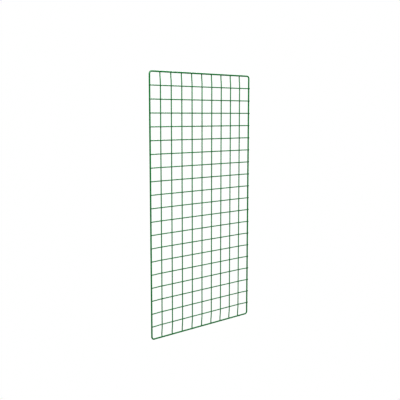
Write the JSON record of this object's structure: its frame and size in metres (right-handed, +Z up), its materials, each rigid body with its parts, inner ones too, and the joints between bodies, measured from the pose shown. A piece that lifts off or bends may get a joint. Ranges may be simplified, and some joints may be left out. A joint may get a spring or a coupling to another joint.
{
  "type": "livestock panel gate",
  "caption": "Tall flat panel of straight welded wires in a square grid, closed by a heavier round-wire frame with rounded corners, for penning small livestock.",
  "frame": {"origin": "midway across the panel, in the frame's own plane, at the underside of the bottom bar; this is also the bottom centre of the whole panel's bounding box", "axes": "+Z up along the side bars, +X across the panel to the right as seen from the side of the cross wires, +Y from the side of the cross wires to the side of the uprights"},
  "size_m": [0.505, 0.0118, 1.005],
  "materials": {
    "frame_coating": "satin dark green plastic coating over the frame wire",
    "mesh_coating": "satin dark green plastic coating over the mesh wires"
  },
  "bodies": {
    "root": {"frame_ring": "frame_coating", "upright_01": "mesh_coating", "upright_02": "mesh_coating", "upright_03": "mesh_coating", "upright_04": "mesh_coating", "upright_05": "mesh_coating", "upright_06": "mesh_coating", "upright_07": "mesh_coating", "upright_08": "mesh_coating", "upright_09": "mesh_coating", "cross_wire_01": "mesh_coating", "cross_wire_02": "mesh_coating", "cross_wire_03": "mesh_coating", "cross_wire_04": "mesh_coating", "cross_wire_05": "mesh_coating", "cross_wire_06": "mesh_coating", "cross_wire_07": "mesh_coating", "cross_wire_08": "mesh_coating", "cross_wire_09": "mesh_coating", "cross_wire_10": "mesh_coating", "cross_wire_11": "mesh_coating", "cross_wire_12": "mesh_coating", "cross_wire_13": "mesh_coating", "cross_wire_14": "mesh_coating", "cross_wire_15": "mesh_coating", "cross_wire_16": "mesh_coating", "cross_wire_17": "mesh_coating", "cross_wire_18": "mesh_coating", "cross_wire_19": "mesh_coating"}
  },
  "joints": []
}
